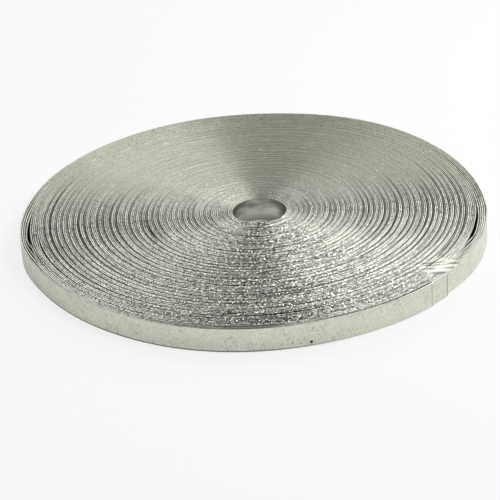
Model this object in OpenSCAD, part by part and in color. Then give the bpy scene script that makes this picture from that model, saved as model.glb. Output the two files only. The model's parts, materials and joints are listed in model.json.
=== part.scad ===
// Coil of magnesium ribbon, lying flat on one end.
// One long strip is wound on itself into a disc with a bore in the middle.
// Every turn of the strip shows as a ridge on both ends of the coil.

/* [Ribbon] */
// Width of the strip, which is the height of the coil
ribbon_width = 3.2; // [2:0.1:6]
// Thickness of the strip
ribbon_thickness = 0.2; // [0.1:0.01:0.4]
// How far the slit edges of the strip are rounded off
edge_rounding = 0.05; // [0.01:0.005:0.06]

/* [Coil] */
// Diameter of the bore, where the former was pulled out
bore_diameter = 6.4; // [4:0.1:20]
// Number of turns in the coil
turn_count = 112; // [20:1:140]
// Space between one turn and the next
turn_gap = 0.025; // [0.01:0.005:0.1]

/* [Hidden] */
$fn = 96;

turn_pitch = ribbon_thickness + turn_gap;
bore_radius = bore_diameter / 2;
outer_radius = bore_radius + turn_count * turn_pitch;
// A thin strip keeps a third of its thickness flat between the two roundings.
rounding = min(edge_rounding, ribbon_thickness / 3);
groove_half_width = rounding + turn_gap / 2;
groove_depth = 2 * rounding;

// Ridges of the turns along one end, from the bore outwards: groove, land, land.
function end_ridges(land, bottom) = [
    for (turn = [0 : turn_count - 1])
        let (inner = bore_radius + turn * turn_pitch)
        each [
            [inner, bottom],
            [inner + groove_half_width, land],
            [inner + turn_pitch - groove_half_width, land]
        ],
    [outer_radius, bottom]
];

function reversed(points) = [for (i = [len(points) - 1 : -1 : 0]) points[i]];

// Section through all the turns on one side of the coil.
module winding_section() {
    polygon(concat(
        end_ridges(0, groove_depth),
        reversed(end_ridges(ribbon_width, ribbon_width - groove_depth))
    ));
}

module ribbon_coil() {
    color("silver")
        rotate_extrude()
            winding_section();
}

ribbon_coil();
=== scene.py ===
"""Coil of magnesium ribbon lying flat: one long strip wound on itself about an open bore."""

import json
import math

import bpy
import numpy as np
from mathutils import Matrix, Vector


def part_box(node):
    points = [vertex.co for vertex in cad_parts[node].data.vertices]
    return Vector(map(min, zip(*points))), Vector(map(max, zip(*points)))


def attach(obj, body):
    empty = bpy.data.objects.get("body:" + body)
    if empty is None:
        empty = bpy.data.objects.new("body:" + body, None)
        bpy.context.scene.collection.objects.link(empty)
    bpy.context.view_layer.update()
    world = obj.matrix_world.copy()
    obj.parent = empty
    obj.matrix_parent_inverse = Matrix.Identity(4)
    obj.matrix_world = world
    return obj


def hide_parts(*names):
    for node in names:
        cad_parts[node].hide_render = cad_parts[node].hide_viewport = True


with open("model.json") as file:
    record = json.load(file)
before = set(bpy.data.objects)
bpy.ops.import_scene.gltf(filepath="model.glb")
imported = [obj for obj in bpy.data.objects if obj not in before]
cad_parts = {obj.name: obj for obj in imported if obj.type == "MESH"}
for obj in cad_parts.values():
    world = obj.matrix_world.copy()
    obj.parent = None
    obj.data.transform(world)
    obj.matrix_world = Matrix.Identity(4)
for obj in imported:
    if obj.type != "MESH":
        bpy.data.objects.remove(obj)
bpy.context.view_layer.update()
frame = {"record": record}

# Sizes of the coil, in metres
MM = 0.001
BORE_MOUNT = next(mount for mount in frame["record"]["mounts"] if mount["name"] == "bore")
BORE_RADIUS = BORE_MOUNT["dims"]["r_mm"] * MM
COIL_LOW, COIL_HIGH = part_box("ribbon_coil")
COIL_RADIUS = (COIL_HIGH.x - COIL_LOW.x) / 2
COIL_HEIGHT = COIL_HIGH.z - COIL_LOW.z
TURNS = 112
STRIP_THICKNESS = 0.19 * MM
EDGE_ROUNDING = 0.06 * MM
TURN_CLEARANCE = 0.012 * MM
# Room for a turn to lie lower than its neighbours
EDGE_PLAY = 0.16 * MM
STRIP_WIDTH = COIL_HEIGHT - EDGE_PLAY
# The bore lies a little to the right of the middle, and the rim a little to the left
BORE_SHIFT = 0.48 * MM
RIM_SHIFT = -0.30 * MM


def deselect_all():
    bpy.ops.object.select_all(action="DESELECT")


# Camera at the photograph's angle
CAMERA_ELEVATION = math.radians(27.03)
CAMERA_ROLL = math.radians(-3.26)
CAMERA_DISTANCE = 10.31 * COIL_RADIUS
TARGET_LEFT = 0.0237 * COIL_RADIUS
TARGET_FRONT = 0.3575 * COIL_RADIUS
CAMERA_TARGET = Vector((RIM_SHIFT - TARGET_LEFT, -TARGET_FRONT, COIL_HEIGHT))
FOCAL_PIXELS = 2401
FRAME_PIXELS = 500
SENSOR_WIDTH = 36
CLIP_START = 0.01
CLIP_END = 20


def add_camera():
    eye = Vector((RIM_SHIFT, 0, COIL_HEIGHT)) + CAMERA_DISTANCE * Vector(
        (0, -math.cos(CAMERA_ELEVATION), math.sin(CAMERA_ELEVATION))
    )
    back = (eye - CAMERA_TARGET).normalized()
    level_right = Vector((0, 0, 1)).cross(back).normalized()
    level_up = back.cross(level_right)
    right = math.cos(CAMERA_ROLL) * level_right + math.sin(CAMERA_ROLL) * level_up
    up = back.cross(right)
    deselect_all()
    bpy.ops.object.camera_add()
    camera = bpy.context.object
    camera.name = "photo_camera"
    turn = Matrix((right, up, back)).transposed().to_4x4()
    camera.matrix_world = Matrix.Translation(eye) @ turn
    camera.data.sensor_width = SENSOR_WIDTH
    camera.data.lens = SENSOR_WIDTH * FOCAL_PIXELS / FRAME_PIXELS
    camera.data.clip_start = CLIP_START
    camera.data.clip_end = CLIP_END
    bpy.context.scene.camera = camera


# Winding of the strip, as functions of the angle wound since its inner end
FULL_TURN = 2 * math.pi
WOUND_ANGLE = TURNS * FULL_TURN
TAIL_AZIMUTH = math.radians(-40.1)
START_AZIMUTH = TAIL_AZIMUTH - WOUND_ANGLE
BACK_AZIMUTH = math.radians(90)
GRID_PER_TURN = 360
SEED = 11
random = np.random.default_rng(SEED)


def smooth_step(value):
    value = np.clip(value, 0, 1)
    return value * value * (3 - 2 * value)


def drift(angle, wavelength):
    """Smooth random drift between -1 and 1 along the strip."""
    knots = random.uniform(-1, 1, int(WOUND_ANGLE / wavelength) + 3)
    place = np.clip(angle / wavelength, 0, len(knots) - 2)
    before = place.astype(int)
    share = smooth_step(place - before)
    return knots[before] * (1 - share) + knots[before + 1] * share


def pulse(angle, centre, half_width):
    """A smooth hump of height 1 at the centre, gone half_width to either side of it."""
    return smooth_step(1 - np.abs(angle - centre) / half_width)


def opening(angle, start, widest, end):
    """0 outside start and end, rising smoothly to 1 at the widest place between them."""
    return smooth_step(np.interp(angle, sorted((start, widest, end)), (0, 1, 0)))


def wound_angle(turns_in, azimuth_degrees):
    """Angle wound at an azimuth, so many turns in from the rim."""
    azimuth = math.radians(azimuth_degrees)
    turns = round((WOUND_ANGLE + TAIL_AZIMUTH - azimuth) / FULL_TURN - 0.5)
    return turns * FULL_TURN + azimuth - TAIL_AZIMUTH - turns_in * FULL_TURN


# Grooves: turns that lie a little lower than the rest and stand off the turn below,
# most at the left and right of the coil, less at its front, by the bore and by the rim
GROOVE_GAP = 0.075 * MM
GROOVE_DEPTH = 0.13 * MM
FIRST_GROOVE = 3.0
GROOVE_STEPS = [3, 3, 3, 3, 4]
GROOVE_HALF_TURNS = (0.9, 1.1)
GROOVE_STRENGTHS = (0.7, 1.0)
GROOVE_PLATEAU = 1.8
FRONT_GROOVES = 0.42
SIDE_GROOVES = 0.58
SIDE_FOCUS = 4
BACK_STARTS = 0.2
BACK_FADE = 0.45
INNER_GROOVES = 0.48
OUTWARD_GAIN = 0.47
SMOOTH_TURNS = 9
RIM_SMOOTHING = 0.75


def groove_turns():
    """Turns that lie lower than the rest, three or four turns apart."""
    turn = FIRST_GROOVE
    while turn < TURNS - 1:
        yield turn
        turn += random.choice(GROOVE_STEPS)


def side_weight(azimuth):
    """1 at the left and right of the coil, less at its front and nothing at its back."""
    sides = np.cos(azimuth) ** SIDE_FOCUS
    back = smooth_step((np.sin(azimuth) - BACK_STARTS) / BACK_FADE)
    return (FRONT_GROOVES + SIDE_GROOVES * sides) * (1 - back)


def groove_depths(angle):
    """How deep in a groove the strip lies along its length, between 0 and 1."""
    groove = np.zeros_like(angle)
    for turn in groove_turns():
        first_back = math.ceil((turn * FULL_TURN + START_AZIMUTH - BACK_AZIMUTH) / FULL_TURN)
        middle = first_back * FULL_TURN + BACK_AZIMUTH - START_AZIMUTH + math.pi
        spread = math.pi * random.uniform(*GROOVE_HALF_TURNS)
        hump = smooth_step(GROOVE_PLATEAU * (1 - np.abs(angle - middle) / spread))
        groove += hump * random.uniform(*GROOVE_STRENGTHS)
    groove = np.minimum(groove, 1) * side_weight(angle + START_AZIMUTH)
    groove *= 1 - RIM_SMOOTHING * smooth_step((angle - WOUND_ANGLE) / FULL_TURN + SMOOTH_TURNS)
    groove *= INNER_GROOVES + OUTWARD_GAIN * angle / WOUND_ANGLE
    return groove


# Unevenness of the winding: wavelengths in radians, and how far each measure drifts
GAP_WAVE = 0.9
GAP_DRIFT = 0.4
GROOVE_WAVE = 1.1
GROOVE_DRIFT = 0.25
SINK_WAVE = 0.5
SINK_DRIFT = 0.02 * MM
# Inner turns sink at the back, bulge into the bore at the front and widen it at the back
INNER_TURNS = 4
BORE_BULGE = 0.35 * MM
BULGED_TURNS = 11
BULGE_FOCUS = 8
BORE_HOLLOW = 0.35 * MM
HOLLOWED_TURNS = 14
HOLLOW_FOCUS = 4


def stacked(angle, gap):
    """Radius of the strip's middle, each turn lying on the one below with a gap between them."""
    radius = BORE_RADIUS + STRIP_THICKNESS / 2 + STRIP_THICKNESS * angle / FULL_TURN
    for turn in range(1, TURNS):
        here = slice(turn * GRID_PER_TURN, (turn + 1) * GRID_PER_TURN + 1)
        below = slice((turn - 1) * GRID_PER_TURN, turn * GRID_PER_TURN + 1)
        radius[here] = radius[below] + STRIP_THICKNESS + gap[here]
    return radius


def winding():
    """Angle wound, radius, sink and depth of groove along the whole strip."""
    angle = np.linspace(0, WOUND_ANGLE, TURNS * GRID_PER_TURN + 1)
    groove = groove_depths(angle)
    gap = GROOVE_GAP * groove + TURN_CLEARANCE * (1 + GAP_DRIFT * drift(angle, GAP_WAVE))
    groove *= 1 - GROOVE_DRIFT + GROOVE_DRIFT * drift(angle, GROOVE_WAVE)
    sink = GROOVE_DEPTH * groove + SINK_DRIFT * (1 + drift(angle, SINK_WAVE))
    turns_out = angle / FULL_TURN
    facing_front = 0.5 - 0.5 * np.sin(angle + START_AZIMUTH)
    sink += np.exp(-turns_out / INNER_TURNS) * (EDGE_PLAY * (1 - facing_front) - sink)
    radius = stacked(angle, gap)
    radius -= BORE_BULGE * np.exp(-turns_out / BULGED_TURNS) * facing_front ** BULGE_FOCUS
    radius += BORE_HOLLOW * np.exp(-turns_out / HOLLOWED_TURNS) * (1 - facing_front) ** HOLLOW_FOCUS
    return angle, radius, sink, groove


# Slack places where a turn stands off the one below it: turns in from the rim,
# azimuth where the gap starts, where it is widest and where it ends, gap in millimetres
SLACK = [
    (3, 172, 190, 193.5, 0.34),
    (3, 193, 200, 222, 0.07),
    (7, 188, 196, 232, 0.14),
    (4, 4, -21.5, -23.5, 0.36),
    (3, 50, 20, 2, 0.09),
    (10, -38, -50, -63, 0.17),
    (12, -12, -31, -34, 0.20),
    (13, -68, -74, -82, 0.20),
    (13, -83, -86, -90, 0.20),
    (13, -94, -97, -100, 0.22),
    (5, -80, -90, -103, 0.14),
    (65, 190, 198, 204, 0.12),
    (103, -76, -86, -96, 0.14),
]
SLACK_SPREAD = 40
SLACK_EASE = 5


def stood_off(angle):
    """How far the slack places push out the turns that pass over them."""
    push = np.zeros_like(angle)
    for turns_in, start, widest, end, width in SLACK:
        for lap in range(min(turns_in + 2, SLACK_SPREAD)):
            centre = wound_angle(turns_in - lap, widest)
            rise = math.radians(start - widest + math.copysign(lap * SLACK_EASE, start - widest))
            fall = math.radians(end - widest + math.copysign(lap * SLACK_EASE, end - widest))
            share = 1 - lap / SLACK_SPREAD
            push += width * MM * share * opening(angle, centre + rise, centre, centre + fall)
    return push


# Places where the rim departs from a true circle: azimuth, half width, depth in millimetres
FLATS = [
    (58, 28, -0.40),
    (14, 26, 0.30),
    (-12, 30, 0.20),
    (-140, 45, 0.22),
    (190, 45, 0.20),
    (-65, 50, 0.36),
]
# The last turn springs out a little before it steps down to the tail
TAIL_SPRING = 0.14 * MM
SPRING_RUN = math.radians(45)
JOGGLE_AZIMUTH = math.radians(-46.1)
JOGGLE_RUN = math.radians(0.8)


def fitted_to_rim(angle, radius):
    """Spreads the slack of the turns so that the last one keeps the coil's own outline."""
    last = radius[-GRID_PER_TURN - 1:]
    wound = angle[-GRID_PER_TURN - 1:]
    azimuth = wound + START_AZIMUTH
    pitch = (COIL_RADIUS - BORE_RADIUS) / TURNS
    outline = COIL_RADIUS - STRIP_THICKNESS / 2 - pitch * (WOUND_ANGLE - wound) / FULL_TURN
    for centre, half_width, depth in FLATS:
        away = (azimuth - math.radians(centre) + math.pi) % FULL_TURN - math.pi
        outline -= depth * MM * pulse(away, 0, math.radians(half_width))
    stretch = (outline - BORE_RADIUS) / (last - BORE_RADIUS)
    stretch_at = np.interp(angle % FULL_TURN, wound - wound[0], stretch)
    fitted = BORE_RADIUS + (radius - BORE_RADIUS) * stretch_at
    past_joggle = angle + START_AZIMUTH - JOGGLE_AZIMUTH
    spring = smooth_step(1 + past_joggle / SPRING_RUN) * (1 - smooth_step(past_joggle / JOGGLE_RUN))
    return fitted + TAIL_SPRING * spring + stood_off(angle)


# The strip itself: cut across many times, closest by its tail
CUTS = 22
CUTTING_ROUNDS = 3
TAIL_CUTS = 4
TAIL_REACH = 9 * MM
SAME_PLACE = 1e-7
# Turns whose inner face lines the bore, and whose outer face is the rim
BORE_TURNS = 1.1
RIM_TURNS = 1.01


def flat_strip():
    """The strip before it is wound, with rounded long edges and many cuts across it."""
    deselect_all()
    bpy.ops.mesh.primitive_cube_add(size=1, scale=(STRIP_THICKNESS, 1, STRIP_WIDTH))
    strip = bpy.context.object
    strip.name = "ribbon"
    bpy.ops.object.transform_apply(location=False, rotation=False, scale=True)
    bpy.context.tool_settings.mesh_select_mode = (False, True, False)
    select_long_edges(strip)
    bpy.ops.object.mode_set(mode="EDIT")
    bpy.ops.mesh.bevel(offset=EDGE_ROUNDING, segments=1, affect="EDGES")
    bpy.ops.object.mode_set(mode="OBJECT")
    for _ in range(CUTTING_ROUNDS):
        select_long_edges(strip)
        bpy.ops.object.mode_set(mode="EDIT")
        bpy.ops.mesh.subdivide(number_cuts=CUTS)
        bpy.ops.object.mode_set(mode="OBJECT")
    return strip


def vertex_places(mesh):
    places = np.empty(len(mesh.vertices) * 3)
    mesh.vertices.foreach_get("co", places)
    return places.reshape(-1, 3)


def select_long_edges(piece):
    mesh = piece.data
    places = vertex_places(mesh)
    ends = np.empty(len(mesh.edges) * 2, int)
    mesh.edges.foreach_get("vertices", ends)
    ends = ends.reshape(-1, 2)
    through, along, across = np.abs(places[ends[:, 1]] - places[ends[:, 0]]).T
    lengthwise = (along > SAME_PLACE) & (through < SAME_PLACE) & (across < SAME_PLACE)
    mesh.vertices.foreach_set("select", np.zeros(len(mesh.vertices), bool))
    mesh.polygons.foreach_set("select", np.zeros(len(mesh.polygons), bool))
    mesh.edges.foreach_set("select", lengthwise)


def set_attribute(mesh, name, values):
    attribute = mesh.attributes.new(name, "FLOAT", "POINT")
    attribute.data.foreach_set("value", values.astype(np.float32))


def wind(strip):
    """Winds the flat strip into the coil and marks each place on it for the material."""
    angle, radius, sink, groove = winding()
    radius = fitted_to_rim(angle, radius)
    steps = np.hypot(np.diff(radius), radius[1:] * np.diff(angle))
    along = np.concatenate(([0], np.cumsum(steps)))
    from_tail = along[-1] - along
    density = np.sqrt(radius) * (1 + TAIL_CUTS * np.exp(-(from_tail / TAIL_REACH) ** 2))
    share = np.concatenate(([0], np.cumsum(density[1:])))
    share /= share[-1]
    mesh = strip.data
    flat = vertex_places(mesh)
    wound = np.interp(flat[:, 1] + 0.5, share, angle)
    azimuth = wound + START_AZIMUTH
    turn_radius = np.interp(wound, angle, radius) + flat[:, 0]
    centre = np.interp(turn_radius, [BORE_RADIUS, COIL_RADIUS], [BORE_SHIFT, RIM_SHIFT])
    lift = EDGE_PLAY - np.interp(wound, angle, sink)
    places = np.column_stack((
        centre + turn_radius * np.cos(azimuth),
        turn_radius * np.sin(azimuth),
        flat[:, 2] + STRIP_WIDTH / 2 + lift,
    ))
    mesh.vertices.foreach_set("co", places.ravel())
    wound_along = np.interp(wound, angle, along)
    set_attribute(mesh, "along_mm", wound_along / MM)
    set_attribute(mesh, "tail_mm", (along[-1] - wound_along) / MM)
    set_attribute(mesh, "across", flat[:, 2] / STRIP_WIDTH + 0.5)
    set_attribute(mesh, "groove", np.interp(wound, angle, groove))
    set_attribute(mesh, "bore", (flat[:, 0] < 0) & (wound < BORE_TURNS * FULL_TURN))
    set_attribute(mesh, "rim", (flat[:, 0] > 0) & (wound > WOUND_ANGLE - RIM_TURNS * FULL_TURN))
    mesh.update()


# Shader maths
BACKDROP_RAYS = ("Is Camera Ray", "Is Glossy Ray", "Is Transmission Ray")
CAMERA_GLOW = 0.8
METAL_GLOW = 0.35


class Signal:
    """An output socket of a node: arithmetic on it adds Math nodes."""

    def __init__(self, finish, socket):
        self.finish = finish
        self.socket = socket

    def maths(self, operation, *inputs):
        return self.finish.node("ShaderNodeMath", {"operation": operation}, dict(enumerate(inputs)))

    def __add__(self, other):
        return self.maths("ADD", self, other)

    def __radd__(self, other):
        return self.maths("ADD", other, self)

    def __sub__(self, other):
        return self.maths("SUBTRACT", self, other)

    def __rsub__(self, other):
        return self.maths("SUBTRACT", other, self)

    def __mul__(self, other):
        return self.maths("MULTIPLY", self, other)

    def __rmul__(self, other):
        return self.maths("MULTIPLY", other, self)

    def __truediv__(self, other):
        return self.maths("DIVIDE", self, other)

    def __pow__(self, other):
        return self.maths("POWER", self, other)

    def step(self, low, high):
        """0 up to low, 1 past high and smooth between them, where high may also be the lower."""
        settings = {"interpolation_type": "SMOOTHSTEP"}
        return self.finish.node("ShaderNodeMapRange", settings, {0: self, 1: low, 2: high})


class Finish:
    """A material or world under construction."""

    def __init__(self, owner):
        owner.use_nodes = True
        self.tree = owner.node_tree
        self.tree.nodes.clear()

    def node(self, kind, settings=None, inputs=None, output=0):
        made = self.tree.nodes.new(kind)
        for name, value in (settings or {}).items():
            setattr(made, name, value)
        for key, value in (inputs or {}).items():
            if isinstance(value, Signal):
                self.tree.links.new(value.socket, made.inputs[key])
            else:
                made.inputs[key].default_value = value
        if made.outputs:
            return Signal(self, made.outputs[output])

    def backdrop_rays(self, shown):
        """How far a surface glows white: to the camera where it is shown, and to metal and glass."""
        rays = [self.node("ShaderNodeLightPath", output=name) for name in BACKDROP_RAYS]
        camera, glossy, transmission = rays
        return camera * shown * CAMERA_GLOW + (glossy + transmission) * METAL_GLOW

    def attribute(self, name):
        return self.node("ShaderNodeAttribute", {"attribute_name": name}, output="Fac")

    def axis(self, vector, name):
        return self.node("ShaderNodeSeparateXYZ", {}, {0: vector}, output=name)

    def channel(self, colour, name):
        return self.node("ShaderNodeSeparateColor", {}, {0: colour}, output=name)

    def point(self, x, y, z=0.0):
        return self.node("ShaderNodeCombineXYZ", {}, {0: x, 1: y, 2: z})

    def mix(self, share, first, second, blend="MIX"):
        settings = {"data_type": "RGBA", "blend_type": blend}
        return self.node("ShaderNodeMix", settings, {0: share, 6: first, 7: second}, output=2)

    def layered(self, colour, *layers):
        """The colour with layers over it, each with its own mask and colour."""
        for mask, layer in layers:
            colour = self.mix(mask, colour, layer)
        return colour

    def noise(self, place, scale, detail, roughness):
        inputs = {"Vector": place, "Scale": scale, "Detail": detail, "Roughness": roughness}
        return self.node("ShaderNodeTexNoise", {}, inputs)

    def noise_along(self, distance, scale, detail):
        inputs = {"W": distance, "Scale": scale, "Detail": detail}
        return self.node("ShaderNodeTexNoise", {"noise_dimensions": "1D"}, inputs)

    def facets(self, distance, per_mm):
        """A colour of its own for each of many short stretches along the strip."""
        inputs = {"W": distance, "Scale": per_mm}
        return self.node("ShaderNodeTexVoronoi", {"voronoi_dimensions": "1D"}, inputs, output="Color")

    def vector(self, operation, inputs):
        return self.node("ShaderNodeVectorMath", {"operation": operation}, inputs)

    def lean(self, normal, colour, reach):
        """The normal turned by a colour, up to the given reach."""
        centred = self.vector("SUBTRACT", {0: colour, 1: (0.5, 0.5, 0.5)})
        scaled = self.vector("SCALE", {0: centred, "Scale": reach})
        return self.vector("NORMALIZE", {0: self.vector("ADD", {0: normal, 1: scaled})})


def grey(level, tint=(1, 1, 1)):
    return (level * tint[0], level * tint[1], level * tint[2], 1)


# Tints of the metal: on the faces of the strip, and on its edges at the coil's front and back
WALL_TINT = (0.975, 1.0, 0.865)
FRONT_TINT = (0.985, 1.0, 0.895)
BACK_TINT = (0.97, 1.0, 0.84)
WHITE = grey(1.0)
SHADE = grey(0.03)
# Where the looks change: across the strip, from front to back, about the bore and out by the rim
MM_PER_METRE = 1000.0
TOP_EDGE = (0.97, 0.985)
BOTTOM_EDGE = (0.03, 0.015)
FRONT_TO_BACK = (-2 * MM, 12 * MM)
LIVELIEST = (-0.17, -0.98)
LIVELY_SPAN = (0.4, 0.9)
RIM_SPAN_MM = (27.7, 28.2)
# Burrs: short chips of the slit edges, liveliest at the front, calm at the back and by the rim
CHIPS_PER_MM = 7.0
GLINTING = (0.73, 0.77)
DULLED = (0.30, 0.12)
SIDE_LIFE = 0.62
FRONT_LIFE = 0.38
BACK_CALM = 0.8
RIM_CALM = 0.7
CHIP_LEAN = 0.12
GLINT_LEAN = 0.78
# Patterns: scales per metre, or per millimetre out from the bore and along the turns
MOTTLE_SCALE = 500.0
FLECK_SCALE = 3800.0
FLECK_PATCH_SCALE = 600.0
FLECKED = (0.46, 0.34)
FLECK_PATCHES = (0.44, 0.62)
MIDDLE_RADIUS_MM = 16.0
RINGS_PER_MM = 2.6
STREAKS_PER_MM = 0.13
DASHES_PER_MM = 0.6
EDGE_LAYER = 7.0


class RibbonFinish(Finish):
    """The strip's finish, with the places, burrs and patterns that its looks are made from."""

    def __init__(self, material):
        super().__init__(material)
        self.along = self.attribute("along_mm")
        self.across = self.attribute("across")
        self.place = self.node("ShaderNodeTexCoord", output="Object")
        self.x = self.axis(self.place, "X")
        self.y = self.axis(self.place, "Y")
        self.z = self.axis(self.place, "Z")
        self.out_mm = (self.x * self.x + self.y * self.y) ** 0.5 * MM_PER_METRE
        self.turned = self.node("ShaderNodeMath", {"operation": "ARCTAN2"}, {0: self.x, 1: 0 - self.y})
        self.edge = self.across.step(*TOP_EDGE) + self.across.step(*BOTTOM_EDGE)
        self.behind = self.y.step(*FRONT_TO_BACK)
        self.front = self.towards(LIVELIEST).step(*LIVELY_SPAN)
        life = (1 - BACK_CALM * self.behind) * (SIDE_LIFE + FRONT_LIFE * self.front)
        self.lively = life * (1 - RIM_CALM * self.out_mm.step(*RIM_SPAN_MM))
        self.chip = self.facets(self.along, CHIPS_PER_MM)
        self.chip_level = self.channel(self.chip, "Green")
        self.glint = self.channel(self.chip, "Blue").step(*GLINTING) * self.lively
        self.dull = self.chip_level.step(*DULLED) * self.lively
        streak_place = self.ring_place(STREAKS_PER_MM, self.edge * EDGE_LAYER)
        self.streaks = self.noise(streak_place, 1.0, detail=2.0, roughness=0.55)
        self.mottle = self.noise(self.place, MOTTLE_SCALE, detail=3.0, roughness=0.6)
        fleck = self.noise(self.place, FLECK_SCALE, detail=3.0, roughness=0.65)
        patch = self.noise(self.place, FLECK_PATCH_SCALE, detail=2.0, roughness=0.5)
        self.fleck = fleck.step(*FLECKED) * patch.step(*FLECK_PATCHES)

    def towards(self, direction):
        """1 where a place lies straight in the direction from the middle, -1 on the far side."""
        right, back = direction
        return (self.x * right + self.y * back) / self.out_mm * MM_PER_METRE

    def ring_place(self, along_scale, layer=0.0):
        """A place for noise that is drawn out along the turns."""
        round_mm = self.turned * MIDDLE_RADIUS_MM
        return self.point(self.out_mm * RINGS_PER_MM, round_mm * along_scale, layer)


# Faces of the strip: satin, mottled and grained, with painted shade deep between the turns
FACE_GREYS = (grey(0.79, WALL_TINT), grey(0.85, WALL_TINT))
MOTTLED = (0.34, 0.66)
GRAIN_SCALE = 4600.0
GRAINED = (0.38, 0.62)
GRAIN_GREY = grey(0.62, WALL_TINT)
GRAIN_COVER = 0.6
FLECK_GREY = grey(0.34, WALL_TINT)
FLECK_COVER = 0.7
DEEP_SHADE_SPAN = (0.979, 0.962)
# Pits in the outer face: azimuth, height and size in millimetres
PITS = [
    (-78.6, 0.68, 0.16),
    (-81.1, 0.69, 0.06),
    (-82.95, 0.82, 0.06),
]
PIT_OUTER = 1.4
PIT_INNER = 0.8
# Painted shade of a crease before the cut end of the strip, both in millimetres from it
CREASE_START = (2.80, 2.92)
CREASE_END = (3.16, 3.04)
CREASE_SHADE_GREY = grey(0.30)
CREASE_COVER = 0.5
CUT_END = (0.16, 0.08)
CUT_END_GREY = grey(0.25)
# Painted contact shade along the foot of the outer face, at the left
FOOT_HEIGHT = (0.075, 0.05)
FOOT_SPAN = (12 * MM, -2 * MM)
FOOT_SHADE_GREY = grey(0.12)
FOOT_SHADE_COVER = 0.85


def pit_masks(ribbon):
    for azimuth_degrees, height_mm, size_mm in PITS:
        azimuth = math.radians(azimuth_degrees)
        pit_x = RIM_SHIFT + COIL_RADIUS * math.cos(azimuth)
        pit_y = COIL_RADIUS * math.sin(azimuth)
        sideways_mm = (ribbon.turned - math.atan2(pit_x, -pit_y)) * (COIL_RADIUS / MM)
        upwards_mm = ribbon.z * MM_PER_METRE - height_mm
        from_pit = (sideways_mm * sideways_mm + upwards_mm * upwards_mm) ** 0.5
        yield from_pit.step(size_mm * PIT_OUTER, size_mm * PIT_INNER)


def face_colour(ribbon):
    """Satin faces: pale where they show, with painted shade deep between the turns."""
    tail = ribbon.attribute("tail_mm")
    face = ribbon.mix(ribbon.mottle.step(*MOTTLED), *FACE_GREYS)
    grain = ribbon.noise(ribbon.place, GRAIN_SCALE, detail=1.0, roughness=0.5)
    face = ribbon.mix(grain.step(*GRAINED), ribbon.mix(GRAIN_COVER, face, GRAIN_GREY), face)
    # Painted shade: the foot of the outer face darkens towards the bottom at the left
    foot_shade = ribbon.across.step(*FOOT_HEIGHT) * ribbon.x.step(*FOOT_SPAN)
    return ribbon.layered(
        face,
        (ribbon.fleck * FLECK_COVER, FLECK_GREY),
        *((mask, SHADE) for mask in pit_masks(ribbon)),
        (tail.step(*CREASE_START) * tail.step(*CREASE_END) * CREASE_COVER, CREASE_SHADE_GREY),
        (tail.step(*CUT_END), CUT_END_GREY),
        (foot_shade * FOOT_SHADE_COVER, FOOT_SHADE_GREY),
        # Painted shade on the faces deep between the turns
        (ribbon.across.step(*DEEP_SHADE_SPAN) * (1 - ribbon.attribute("rim")), SHADE),
        (ribbon.attribute("bore"), bore_colour(ribbon)),
    )


# Inside of the bore: blotches, with painted shade low down and at its left and right
BLOTCH_SCALE = 420.0
BLOTCH_RISE = 3.2
BLOTCHED = (0.36, 0.66)
BORE_LIGHT = (0.05, 0.45)
BORE_GREYS = (grey(0.33, WALL_TINT), grey(0.70, WALL_TINT))
BORE_SIDES = (0.6, 1.0)
BORE_SIDE_SHADE_GREY = grey(0.16, WALL_TINT)
BORE_SIDE_SHADE_COVER = 0.7


def bore_colour(ribbon):
    """Blotched inner face of the first turn, darker than the other faces, with painted shade low down
    and at its left and right.
    """
    blotch_place = ribbon.point(
        ribbon.x * BLOTCH_SCALE, ribbon.y * BLOTCH_SCALE, ribbon.across * BLOTCH_RISE
    )
    blotches = ribbon.noise(blotch_place, 1.0, detail=1.0, roughness=0.5)
    tone = blotches.step(*BLOTCHED) * ribbon.across.step(*BORE_LIGHT)
    sideways = (ribbon.x - BORE_SHIFT) / BORE_RADIUS
    sides = (sideways * sideways).step(*BORE_SIDES)
    # Painted shade at the left and right of the bore
    return ribbon.mix(sides * BORE_SIDE_SHADE_COVER, ribbon.mix(tone, *BORE_GREYS), BORE_SIDE_SHADE_GREY)


# Slit edges: tones that each turn has for itself or shares with its neighbours, and marks over them
TONES_PER_MM = 0.08
SHARED_TONE = 0.05
SHARED_TONE_FRONT = 0.5
TONED = (0.41, 0.59)
PLAIN_LEVEL = 0.64
BACK_PAINTED_SHADE = 0.11
FRONT_PAINTED_SHEEN = 0.09
BACK_QUIET = 0.9
SIDE_CONTRAST = 0.35
FRONT_CONTRAST = 0.65
SIDE_SPECKLE = 0.45
FRONT_SPECKLE = 0.4
BRIGHTEST = (-0.62, -0.78)
PAINTED_HIGHLIGHT_SPAN = (0.82, 1.0)
PAINTED_HIGHLIGHT_LEVEL = 0.45
EDGE_DARK = grey(0.17)
DULL_GREY = grey(0.18)
DULL_COVER = 0.7
DASHED = (0.60, 0.70)
DASH_COVER = 0.5
SEAM_SHADE_SPAN = (0.997, 0.981)
SEAM_SHADE_BACK_FADE = 0.8
SEAM_SHADE_COVER = 0.72
GROOVED = (0.0, 0.8)
GROOVE_SHADE_GREY = grey(0.04)
GROOVE_SHADE_COVER = 0.92
SPECKED = (0.975, 0.985)
SPECK_SPAN_MM = (23.0, 26.0)
SPECK_GREY = grey(0.06)
SPECK_COVER = 0.8


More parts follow.
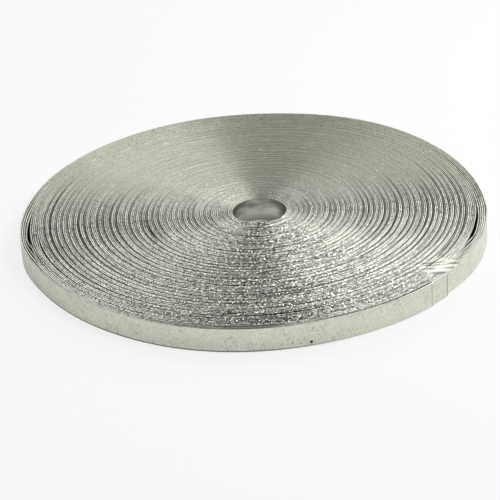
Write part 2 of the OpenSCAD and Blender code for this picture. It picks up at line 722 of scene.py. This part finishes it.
def edge_tone(ribbon):
    """Lightness of the edges before any marks, with painted shade at the back, painted sheen at the
    front and a painted highlight at the front left.
    """
    own_tone = ribbon.noise_along(ribbon.along, TONES_PER_MM, detail=2.0)
    shared = SHARED_TONE + SHARED_TONE_FRONT * ribbon.front
    tone = (ribbon.streaks * shared + own_tone * (1 - shared)).step(*TONED)
    # Painted shade darkens the edges at the back and painted sheen brightens them at the front
    plain = PLAIN_LEVEL - BACK_PAINTED_SHADE * ribbon.behind + FRONT_PAINTED_SHEEN * ribbon.front
    contrast = (1 - BACK_QUIET * ribbon.behind) * (SIDE_CONTRAST + FRONT_CONTRAST * ribbon.front)
    speckle = (ribbon.chip_level - 0.5) * (SIDE_SPECKLE + FRONT_SPECKLE * ribbon.front) * ribbon.lively
    # Painted highlight: the edges at the front left are painted brighter
    painted_highlight = ribbon.towards(BRIGHTEST).step(*PAINTED_HIGHLIGHT_SPAN)
    return plain + (tone - 0.5) * contrast + speckle + PAINTED_HIGHLIGHT_LEVEL * painted_highlight


def edge_colour(ribbon):
    """Slit edges with chips and glints, painted shade in the seams between the turns and in the
    grooves.
    """
    dashes = ribbon.noise(ribbon.ring_place(DASHES_PER_MM), 1.0, detail=2.0, roughness=0.6)
    seam_shade = ribbon.across.step(*SEAM_SHADE_SPAN) * (1 - SEAM_SHADE_BACK_FADE * ribbon.behind)
    specks = ribbon.channel(ribbon.chip, "Red").step(*SPECKED) * ribbon.out_mm.step(*SPECK_SPAN_MM)
    edges = ribbon.layered(
        ribbon.mix(edge_tone(ribbon), EDGE_DARK, WHITE),
        (ribbon.dull * DULL_COVER, DULL_GREY),
        # Glinting chips: painted white as painted glints, as well as leaning and polished
        (ribbon.glint, WHITE),
        (dashes.step(*DASHED) * ribbon.behind * DASH_COVER, WHITE),
        # Painted shade in the seams between the turns
        (seam_shade * SEAM_SHADE_COVER, SHADE),
        # Painted shade: the edges of the turns sunk in the grooves are painted almost black
        (ribbon.attribute("groove").step(*GROOVED) * GROOVE_SHADE_COVER, GROOVE_SHADE_GREY),
        (crumple_mask(ribbon) * CRUMPLE_COVER, fold_highlights_and_shade(ribbon)),
        (specks * SPECK_COVER, SPECK_GREY),
    )
    tint = ribbon.mix(ribbon.behind, grey(1.0, FRONT_TINT), grey(1.0, BACK_TINT))
    return ribbon.mix(1.0, edges, tint, "MULTIPLY")


# Crumpled places by the two ends of the strip, painted with the highlights and shade of their folds:
# middle and reach, in millimetres
CRUMPLES = [
    ((20.9, -16.6), (2.8, 2.2)),
    ((-1.7, -3.7), (1.3, 0.8)),
]
CRUMPLED = (1.0, 0.45)
CRUMPLE_COVER = 0.85
FOLDS_RIGHT = 250.0
FOLDS_BACK = 1500.0
FOLDED = (0.42, 0.54)
FOLD_SHADE_GREY = grey(0.22)


def crumple_mask(ribbon):
    mask = 0
    for (middle_x, middle_y), (reach_x, reach_y) in CRUMPLES:
        offset_x = (ribbon.x - middle_x * MM) / (reach_x * MM)
        offset_y = (ribbon.y - middle_y * MM) / (reach_y * MM)
        mask = mask + (offset_x * offset_x + offset_y * offset_y).step(*CRUMPLED)
    return mask


# Painted highlights and shade of the folds: white and dark grey streaks
def fold_highlights_and_shade(ribbon):
    fold_place = ribbon.point(ribbon.x * FOLDS_RIGHT, ribbon.y * FOLDS_BACK)
    folds = ribbon.noise(fold_place, 1.0, detail=1.0, roughness=0.5)
    return ribbon.mix(folds.step(*FOLDED), FOLD_SHADE_GREY, WHITE)


# Roughness and fine relief of the metal
ROUGHNESS = 0.37
BACK_ROUGHNESS = 0.07
GLINT_POLISH = 0.16
DULL_ROUGHNESS = 0.1
STREAK_RELIEF = 0.06
MOTTLE_RELIEF = 0.04
FLECK_RELIEF = 0.02
RELIEF_STRENGTH = 0.7
RELIEF_DISTANCE = 0.0004


def relief(ribbon):
    """Normal of the metal: chips that lean their own way, over streaks, mottling and flecks."""
    upright = ribbon.node("ShaderNodeNewGeometry", output="Normal")
    reach = ribbon.edge * ribbon.lively * (CHIP_LEAN + GLINT_LEAN * ribbon.glint)
    streaks = ribbon.streaks * ribbon.edge * ribbon.lively * STREAK_RELIEF
    height = streaks + ribbon.mottle * MOTTLE_RELIEF + ribbon.fleck * FLECK_RELIEF
    return ribbon.node("ShaderNodeBump", {}, {
        "Strength": RELIEF_STRENGTH,
        "Distance": RELIEF_DISTANCE,
        "Height": height,
        "Normal": ribbon.lean(upright, ribbon.chip, reach),
    })


def ribbon_metal():
    """Slit magnesium strip: satin faces, bright burred edges and painted shade in the grooves."""
    material = bpy.data.materials.new("ribbon_metal")
    ribbon = RibbonFinish(material)
    polish = GLINT_POLISH * ribbon.glint * ribbon.edge
    wear = DULL_ROUGHNESS * ribbon.dull * ribbon.edge
    shader = ribbon.node("ShaderNodeBsdfPrincipled", {}, {
        "Base Color": ribbon.mix(ribbon.edge, face_colour(ribbon), edge_colour(ribbon)),
        "Metallic": 1.0,
        "Roughness": ROUGHNESS + BACK_ROUGHNESS * ribbon.behind - polish + wear,
        "Normal": relief(ribbon),
    })
    ribbon.node("ShaderNodeOutputMaterial", {}, {"Surface": shader})
    return material


def add_ribbon():
    strip = flat_strip()
    wind(strip)
    deselect_all()
    strip.select_set(True)
    bpy.context.view_layer.objects.active = strip
    bpy.ops.object.shade_smooth()
    bpy.ops.object.modifier_add(type="WEIGHTED_NORMAL")
    bpy.ops.object.modifier_apply(modifier=strip.modifiers[0].name)
    strip.data.materials.append(ribbon_metal())
    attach(strip, "root")
    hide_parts("ribbon_coil")


# Plain pale floor, white as the camera and the metal see it, but not down in the bore
FLOOR_SIZE = 6.0
FLOOR_DROP = 0.02 * MM
FLOOR_GREY = grey(0.95)
SHADED_FLOOR = ((1.4 * BORE_RADIUS) ** 2, (1.6 * BORE_RADIUS) ** 2)


def floor_paint():
    material = bpy.data.materials.new("pale_floor")
    finish = Finish(material)
    place = finish.node("ShaderNodeTexCoord", output="Object")
    x = finish.axis(place, "X")
    y = finish.axis(place, "Y")
    outside_bore = (x * x + y * y).step(*SHADED_FLOOR)
    underside = finish.node("ShaderNodeNewGeometry", output="Backfacing")
    seen = finish.backdrop_rays(outside_bore + (1 - outside_bore) * underside)
    paint = finish.node("ShaderNodeBsdfDiffuse", {}, {"Color": FLOOR_GREY})
    glow = finish.node("ShaderNodeEmission", {}, {"Color": WHITE, "Strength": 1.0})
    both = finish.node("ShaderNodeMixShader", {}, {0: seen, 1: paint, 2: glow})
    finish.node("ShaderNodeOutputMaterial", {}, {"Surface": both})
    return material


def add_floor():
    deselect_all()
    bpy.ops.mesh.primitive_plane_add(size=FLOOR_SIZE, location=(0, 0, -FLOOR_DROP))
    floor = bpy.context.object
    floor.name = "floor"
    bpy.ops.object.transform_apply(location=True, rotation=False, scale=False)
    floor.data.materials.append(floor_paint())


# Round lamps: name, azimuth and elevation in degrees, distance, size, power
SOFTBOXES = [
    ("front_softbox", -35, 50, 0.6, 0.3, 1.33),
    ("back_softbox", 120, 50, 0.6, 0.3, 0.75),
    ("low_back_softbox", 120, 28, 0.6, 0.3, 0.30),
    ("right_softbox", 60, 28, 0.6, 0.3, 0.72),
    ("near_softbox", 20, 40, 0.14, 0.07, 0.073),
]
# Room around the coil: paler towards the horizon than overhead
ROOM_HEIGHTS = (0.1, 0.6)
ROOM_GREYS = (grey(0.28), grey(0.09))


def add_softbox(name, azimuth_degrees, elevation_degrees, distance, size, power):
    azimuth = math.radians(azimuth_degrees)
    elevation = math.radians(elevation_degrees)
    towards = Vector((
        math.cos(azimuth) * math.cos(elevation),
        math.sin(azimuth) * math.cos(elevation),
        math.sin(elevation),
    ))
    deselect_all()
    bpy.ops.object.light_add(type="AREA", location=towards * distance)
    light = bpy.context.object
    light.name = name
    light.rotation_euler = towards.to_track_quat("Z", "Y").to_euler()
    light.data.shape = "DISK"
    light.data.size = size
    light.data.energy = power


def add_world():
    world = bpy.data.worlds.new("studio")
    bpy.context.scene.world = world
    finish = Finish(world)
    direction = finish.node("ShaderNodeTexCoord", output="Generated")
    room = finish.mix(finish.axis(direction, "Z").step(*ROOM_HEIGHTS), *ROOM_GREYS)
    background = finish.node("ShaderNodeBackground", {}, {"Color": room, "Strength": 1.0})
    finish.node("ShaderNodeOutputWorld", {}, {"Surface": background})


add_camera()
add_ribbon()
add_floor()
for softbox in SOFTBOXES:
    add_softbox(*softbox)
add_world()
bpy.context.scene.view_settings.view_transform = "Standard"
